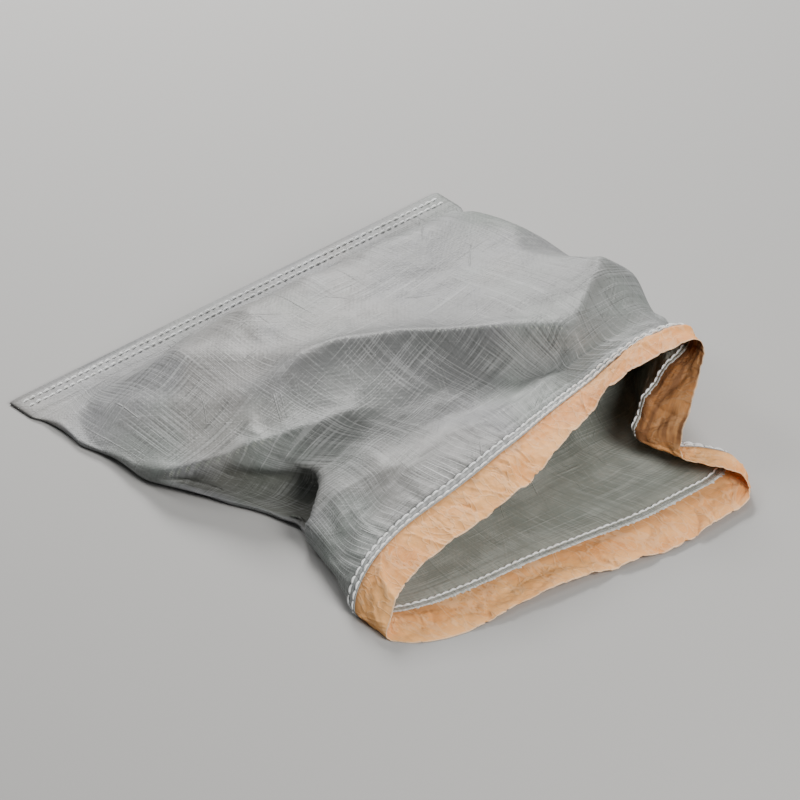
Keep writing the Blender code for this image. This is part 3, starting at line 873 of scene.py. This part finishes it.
    lump = look.noise(60.0, 4.0, place, 0.6)
    fibre = look.noise(900.0, 3.0, place)
    big = look.bump((lines + pucker) * 0.7 + lump, 0.5, 0.0016)
    small = look.bump(weave * 0.22 + light + fibre * 0.3, 0.4, 0.0004, big)
    look.set(Base_Color=colour, Normal=small, Specular_IOR_Level=0.32,
             Roughness=0.44 + 0.16 * blotch + 0.10 * inside)
    return look.material


# half of the thickness of the cloth, the folded end, the hem and the slot for the band
CLOTH_HALF = 0.3
END_HALF = 0.7
HEM_HALF = 1.05
SLOT_HALF = 0.42
HEM_MIDDLE = (HEM_HALF + SLOT_HALF) / 2
cloth = Shell()


def half_thickness(v):
    return CLOTH_HALF + (HEM_HALF - CLOTH_HALF) * float(ramp(v, HEM_START - 2, HEM_START + 1))


# both skins have the same rows, so that neither shows through the other in a sharp fold
BODY_ROWS = np.linspace(36.5, HEM_EDGE - 60, 88)
HEM_ROWS = np.arange(HEM_EDGE - 58, HEM_EDGE - 0.4, 2.5)
first = cloth.loop(0.0, END_HALF, 0.0)
for v in (6.0, 14.0, 22.0, 27.0, 29.5, 33.0):
    cloth.loop(v, END_HALF if v < END_FOLD else CLOTH_HALF, 0.0)
for v in BODY_ROWS:
    cloth.loop(v, CLOTH_HALF, 0.0)
for v in HEM_ROWS:
    cloth.loop(v, half_thickness(v), 0.0)
# round the edge of the hem, with the slot that takes the band
for spot in ((HEM_EDGE - 0.2, HEM_HALF - 0.1, 0.0), (HEM_EDGE, HEM_MIDDLE, 0.0),
             (HEM_EDGE - 0.2, SLOT_HALF + 0.05, 0.0), (SLOT_FLOOR, SLOT_HALF, 1.0),
             (SLOT_FLOOR, -SLOT_HALF, 1.0), (INNER_EDGE - 0.2, -SLOT_HALF, 1.0),
             (INNER_EDGE, -HEM_MIDDLE, 1.0), (INNER_EDGE - 0.4, -HEM_HALF, 1.0)):
    cloth.loop(*spot)
for v in reversed(HEM_ROWS[HEM_ROWS < INNER_EDGE - 1.0]):
    cloth.loop(v, -half_thickness(v), 1.0)
for v in reversed(BODY_ROWS):
    cloth.loop(v, -CLOTH_HALF, 1.0)
cloth.close(first, True)
cloth.close(cloth.before, False)
bag_cloth = cloth.object("bag_cloth_shell", woven_cloth_look())
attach(bag_cloth, "root")
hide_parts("bag_cloth")

# Paper band
# A strip of kraft paper folded double over the raw mouth and caught under the hem. Paper
# creases sharply, so it is crumpled all along, and its free edge is worn and nicked.
BAND_ROOT = SLOT_FLOOR + 0.5
BAND_HALF = 0.3
BAND_AROUND = 1440
# folds in the paper: their places (u, v), height, and fall towards the hem and the lip
BAND_FOLDS = [
    ([(664, 530), (640, 517), (612, 506), (584, 499)], 6.5, 11.0, 9.0),
    ([(944, 486), (954, 500), (962, 514), (968, 530)], 3.2, 13.0, 2.0),
    ([(26, 530), (20, 516), (12, 500)], 3.0, 5.0, 9.0),
    ([(236, 530), (232, 512), (221, 497)], 3.4, 3.0, 10.0),
    ([(318, 530), (327, 514), (331, 497)], 2.6, 9.0, 3.0),
    ([(812, 530), (806, 512), (801, 494)], 2.2, 6.0, 3.0),
]
# height, size, stretch and seed of each layer of crumples
PAPER_MARKS = [(3.8, 30.0, 1.1, 31), (1.8, 13.0, 1.3, 37), (0.5, 6.0, 1.0, 53)]
PAPER_CREASES = 150


def crumple(u, v):
    """How far the paper stands off its smooth shape."""
    pick = np.random.default_rng(5)
    free = ramp(v, HEM_EDGE + 1, HEM_EDGE + 9)
    paper = sum(height * dents(u, v, *mark) for height, *mark in PAPER_MARKS)
    paper += 4.0 * dents(u, v, 95.0, 1.0, 91) * ramp(v, HEM_EDGE, FLAT_LENGTH)
    for _ in range(PAPER_CREASES):
        centre = pick.random() * PERIMETER
        lean = 1.2 * (pick.random() - 0.5)
        width = 0.8 + 2.6 * pick.random() ** 2
        height = 2.2 * (pick.random() - 0.4)
        across = across_from(u, centre, lean, v - HEM_EDGE)
        paper = paper + height * np.exp(-np.abs(across) / width)
    for points, height, behind, before in BAND_FOLDS:
        gap, _ = beside(points, u, v)
        paper = paper + height * np.exp(-np.abs(gap) / np.where(gap < 0, behind, before))
    return paper * free


def kraft_look():
    """Brown kraft paper: fibres, crease marks with pale worn tops, darker root."""
    look = Look("kraft_paper")
    place = look.on_object()
    flat = look.on_sheet()
    u = look.part(flat, "X")
    v = look.part(flat, "Y")
    inside = look.stored("inside")
    tone = look.noise(11.0, 4.0, place, 0.6)
    fibre = look.noise(1.0, 3.0, look.stretched(flat, 190.0, 900.0))
    worn = 0.0
    for way in ((12.0, 34.0, 1.2), (12.0, 34.0, -1.3), (20.0, 50.0, 1.57)):
        field = look.noise(1.0, 3.0, look.stretched(flat, *way), 0.5)
        worn = worn + (1 - (field - 0.5).size().clear_of(0.003, 0.02))
    worn = worn.clear_of(0.0, 1.0)
    stain = look.noise(30.0, 4.0, look.stretched(flat, 1.0, 0.6), 0.6)
    stain = stain.clear_of(0.52, 0.66) * (1 - v.clear_of(0.490, 0.524))
    root = 1 - v.clear_of(0.484, 0.497)
    # painted shade: the sheltered far wall is darkened inside to a deep brown, with darker
    # streaks along it
    streak = look.noise(1.0, 3.0, look.stretched(flat, 22.0, 120.0))
    far_wall_shade = u.clear_of(0.455, 0.485) * (1 - u.clear_of(0.575, 0.60)) * inside
    far_wall_shade = far_wall_shade * (0.62 + 0.36 * streak.clear_of(0.40, 0.62))
    edge = v.clear_of(0.5275, 0.5295)
    colour = look.coats(
        (0.80, 0.305, 0.075),
        (tone.clear_of(0.35, 0.65), (0.98, 0.49, 0.17)),
        (fibre.clear_of(0.4, 0.75) * 0.3, (0.80, 0.56, 0.36)),
        (root * 0.45, (0.33, 0.17, 0.08)),
        (stain * 0.6, (0.40, 0.185, 0.07)),
        (worn * 0.22, (0.95, 0.70, 0.44)),
        # painted shade on the inside of the far wall
        (far_wall_shade, (0.185, 0.080, 0.030)),
        (edge * 0.6, (0.88, 0.70, 0.50)))
    cells = look.add("ShaderNodeTexVoronoi", {"feature": "F1"},
                     {"Vector": place, "Scale": 95.0, "Detail": 2.0, "Roughness": 0.6})
    creased = look.bump(cells * 0.7 + worn * 0.5, 0.5, 0.0012)
    look.set(Base_Color=colour, Normal=look.bump(fibre, 0.25, 0.0003, creased),
             Roughness=0.66 + 0.14 * tone, Specular_IOR_Level=0.3)
    return look.material


NICKS = 60
band = Shell(BAND_AROUND)
pick = np.random.default_rng(77)
nick = np.zeros(BAND_AROUND)
for _ in range(NICKS):
    width = 0.8 + 5.0 * pick.random() ** 2
    across = across_from(band.u, pick.random() * PERIMETER, 0.0, 0.0)
    nick += (0.3 + 2.4 * pick.random() ** 3) * np.exp(-(across / width) ** 2)
nick += 0.25 * pick.random(BAND_AROUND)


def nicked(v):
    """v drawn back where the free edge is nicked."""
    return v - nick * ramp(v, FLAT_LENGTH - 14, FLAT_LENGTH)


rows = [BAND_ROOT, SLOT_FLOOR + 5, *np.arange(HEM_EDGE - 1, FLAT_LENGTH, 1.75), FLAT_LENGTH]
stand = [crumple(band.u, nicked(v)) for v in rows]
lowest = BAND_HALF + 0.15
start = band.loop(nicked(rows[0]), BAND_HALF, 0.0, stand[0], lowest)
for v, off in zip(rows[1:], stand[1:]):
    band.loop(nicked(v), BAND_HALF, 0.0, off, lowest)
band.loop(nicked(rows[-1]) + 0.1, 0.0, 0.5, stand[-1], lowest)
for v, off in zip(reversed(rows), reversed(stand)):
    band.loop(nicked(v), -BAND_HALF, 1.0, off, lowest)
band.join(band.before, start)
mouth_band = band.object("mouth_band_paper", kraft_look())
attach(mouth_band, "root")
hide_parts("mouth_band")

# Raw edge inside the mouth
# The turned-in ply of the hem ends as a cut edge inside the mouth: pale, frayed and jagged
# where single tapes have pulled loose, lying on the paper.
RAW_AROUND = 1000
raw = Shell(RAW_AROUND)
pick = np.random.default_rng(19)
fray = 1.0 * pick.random(RAW_AROUND) + 3.0 * pick.random(RAW_AROUND) ** 5
fray = 0.65 * fray + 0.35 * np.roll(fray, 1)
on_paper = -(BAND_HALF + 0.35)
hidden = INNER_EDGE - 3.0
bend = INNER_EDGE + 0.3
tip = INNER_EDGE + 0.8 + fray
for v, offset in ((hidden, -HEM_HALF - 0.05), (bend, on_paper - 0.35), (tip, on_paper - 0.15),
                  (tip, on_paper + 0.1), (bend, on_paper + 0.05), (hidden, -HEM_HALF + 0.15)):
    raw.loop(v, offset, 0.0)
# the last loop meets the first
raw.join(raw.before, 0)


def raw_edge_look():
    """Uncoated cut ends of the tapes."""
    look = Look("raw_tape_ends")
    place = look.on_object()
    flat = look.on_sheet()
    tape = look.noise(1.0, 2.0, look.stretched(flat, 420.0, 60.0))
    soil_and_shade = look.noise(55.0, 3.0, place)
    colour = look.coats(
        (0.40, 0.42, 0.40),
        (tape.clear_of(0.35, 0.65), (0.66, 0.68, 0.66)),
        (soil_and_shade.clear_of(0.5, 0.7) * 0.5, (0.42, 0.36, 0.27)))
    look.set(Base_Color=colour, Normal=look.bump(tape, 0.5, 0.0005),
             Roughness=0.6 + 0.1 * soil_and_shade)
    return look.material


raw_edge = raw.object("mouth_raw_edge", raw_edge_look())
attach(raw_edge, "root")

# Stitches
# Lockstitches of white polyester thread: two rows outside the hem, their one return row
# inside, and two rows across the folded closed end. Each stitch humps over the cloth and
# dives into its needle holes.
THREAD = 1.75
HUMP = 1.1 * THREAD
# share of the thread by which a stitch's ends sink, and its height where it is pressed flat
SUNK = 0.45
PRESSED = 0.4
STITCH_TREE = bpy.data.node_groups.new("stitch_row", "GeometryNodeTree")
for name, kind in (("Places", "Geometry"), ("Stitch length", "Float"), ("Thread", "Float"),
                   ("Hump", "Float"), ("Material", "Material")):
    STITCH_TREE.interface.new_socket(name, in_out="INPUT", socket_type="NodeSocket" + kind)
STITCH_TREE.interface.new_socket("Stitches", in_out="OUTPUT", socket_type="NodeSocketGeometry")


def tree_node(kind, settings=None, **sockets):
    node = STITCH_TREE.nodes.new(kind)
    for name, value in (settings or {}).items():
        setattr(node, name, value)
    for name, value in sockets.items():
        socket = node.inputs[name.replace("_", " ")]
        if isinstance(value, bpy.types.NodeSocket):
            STITCH_TREE.links.new(value, socket)
        else:
            socket.default_value = value
    return node


def times(socket, factor):
    node = tree_node("ShaderNodeMath", {"operation": "MULTIPLY"})
    STITCH_TREE.links.new(socket, node.inputs[0])
    node.inputs[1].default_value = factor
    return node.outputs[0]


given = tree_node("NodeGroupInput").outputs
sunk = times(given["Thread"], -SUNK)
enter = tree_node("ShaderNodeCombineXYZ", X=times(given["Stitch length"], -0.5), Z=sunk)
leave = tree_node("ShaderNodeCombineXYZ", X=times(given["Stitch length"], 0.5), Z=sunk)
rise = tree_node("ShaderNodeCombineXYZ", Z=given["Hump"])
arch = tree_node("GeometryNodeCurveQuadraticBezier", Resolution=7, Start=enter.outputs[0],
                 Middle=rise.outputs[0], End=leave.outputs[0])
round_thread = tree_node("GeometryNodeCurvePrimitiveCircle", Resolution=6,
                         Radius=times(given["Thread"], 0.5))
one_stitch = tree_node("GeometryNodeCurveToMesh", Curve=arch.outputs[0],
                       Profile_Curve=round_thread.outputs[0], Fill_Caps=True)
way, out, stretch = (tree_node("GeometryNodeInputNamedAttribute",
                               {"data_type": "FLOAT_VECTOR"}, Name=title).outputs[0]
                     for title in ("way", "out", "stretch"))
lay = tree_node("FunctionNodeAlignRotationToVector", {"axis": "X"}, Vector=way)
face = tree_node("FunctionNodeAlignRotationToVector", {"axis": "Z", "pivot_axis": "X"},
                 Rotation=lay.outputs[0], Vector=out)
sewn = tree_node("GeometryNodeInstanceOnPoints", Points=given["Places"],
                 Instance=one_stitch.outputs[0], Rotation=face.outputs[0], Scale=stretch)
single = tree_node("GeometryNodeRealizeInstances", Geometry=sewn.outputs[0])
dressed = tree_node("GeometryNodeSetMaterial", Geometry=single.outputs[0],
                    Material=given["Material"])
smooth = tree_node("GeometryNodeSetShadeSmooth", Geometry=dressed.outputs[0])
tree_node("NodeGroupOutput", Stitches=smooth.outputs[0])


def thread_look():
    """White polyester, twisted, greyed by dust."""
    look = Look("white_thread")
    place = look.on_object()
    dust = look.noise(120.0, 3.0, place)
    twist = look.noise(2600.0, 2.0, place)
    colour = look.coats((0.93, 0.95, 0.96), (dust.clear_of(0.35, 0.7), (0.76, 0.77, 0.75)))
    look.set(Base_Color=colour, Normal=look.bump(twist, 0.6, 0.0003),
             Roughness=0.55 + 0.15 * dust)
    return look.material


white_thread = thread_look()


def sew(name, node, line, out, pitch, length, seed):
    """Stitches along a line on the cloth."""
    pick = np.random.default_rng(seed)
    steps = np.linalg.norm(np.diff(line, axis=0), axis=1)
    run = np.concatenate([[0.0], np.cumsum(steps)])
    count = int(run[-1] / pitch)
    centre = (np.arange(count) + 0.5) * run[-1] / count + 0.5 * (pick.random(count) - 0.5)

    def at(spot, values):
        return np.stack([np.interp(spot, run, values[:, k]) for k in range(3)], axis=-1)

    place = at(centre, line)
    way = at(centre + 0.45 * length, line) - at(centre - 0.45 * length, line)
    normal = at(centre, out)
    sideways = np.cross(normal, way)
    sideways /= np.linalg.norm(sideways, axis=1, keepdims=True)
    way = way + sideways * (0.5 * (pick.random((count, 1)) - 0.5))
    place = place + sideways * 0.3 * (pick.random((count, 1)) - 0.5)
    # no two stitches have the same length and height
    size = np.ones((count, 3))
    size[:, 0] = 0.88 + 0.2 * pick.random(count)
    size[:, 2] = 0.8 + 0.5 * pick.random(count)
    # between the bag and the floor the thread is pressed flat
    size[:, 2] *= np.where((normal[:, 2] < 0) & (place[:, 2] < THREAD), PRESSED, 1.0)
    mesh = bpy.data.meshes.new(name)
    mesh.from_pydata((place * MM).tolist(), [], [])
    for title, values in (("way", way), ("out", normal), ("stretch", size)):
        stored = mesh.attributes.new(title, "FLOAT_VECTOR", "POINT")
        stored.data.foreach_set("vector", values.reshape(-1))
    row = add_object(name, mesh)
    sewing = row.modifiers.new("sewing", "NODES")
    sewing.node_group = STITCH_TREE
    wanted = {"Stitch length": length * MM, "Thread": THREAD * MM, "Hump": HUMP * MM,
              "Material": white_thread}
    for socket in STITCH_TREE.interface.items_tree:
        if socket.in_out == "INPUT" and socket.name in wanted:
            sewing[socket.identifier] = wanted[socket.name]
    sewn_row = row.evaluated_get(bpy.context.evaluated_depsgraph_get())
    solid = bpy.data.meshes.new_from_object(sewn_row)
    solid.name = name
    row.modifiers.remove(sewing)
    row.data = solid
    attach(row, "root")
    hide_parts(node)


def closed(values):
    return np.concatenate([values, values[:1]])


def row_round_mouth(v, offset):
    line = closed(ring(v, offset))
    line[:, 2] = np.maximum(line[:, 2], 0.5 * THREAD)
    return line, closed(ring(v, offset + math.copysign(1.0, offset)) - ring(v, offset))


# from one stitch to the next, and the length of one
HEM_SEWING = (8.8, 7.9)
INSIDE_SEWING = (7.2, 7.0)
END_SEWING = (7.6, 6.6)
STITCH_FRONT = HEM_EDGE - 3.0
STITCH_REAR = STITCH_FRONT - 8.0
STITCH_INSIDE = INNER_EDGE - 5.0
ON_HEM = HEM_HALF + 0.1
sew("hem_stitches_front", "mouth_stitch_front", *row_round_mouth(STITCH_FRONT, ON_HEM),
    *HEM_SEWING, 61)
sew("hem_stitches_rear", "mouth_stitch_rear", *row_round_mouth(STITCH_REAR, ON_HEM),
    *HEM_SEWING, 62)
sew("hem_stitches_inside", "mouth_stitch_inner", *row_round_mouth(STITCH_INSIDE, -ON_HEM),
    *INSIDE_SEWING, 63)


def row_across_end(v):
    column = np.arange(AROUND // 2 + 3, AROUND - 2)
    line = ring(v, END_HALF)[column]
    return line, ring(v, END_HALF + 1.0)[column] - line


END_ROW_OUTER = 8.0
END_ROW_INNER = 16.0
sew("end_stitches_outer", "end_stitch_outer", *row_across_end(END_ROW_OUTER), *END_SEWING, 64)
sew("end_stitches_inner", "end_stitch_inner", *row_across_end(END_ROW_INNER), *END_SEWING, 65)
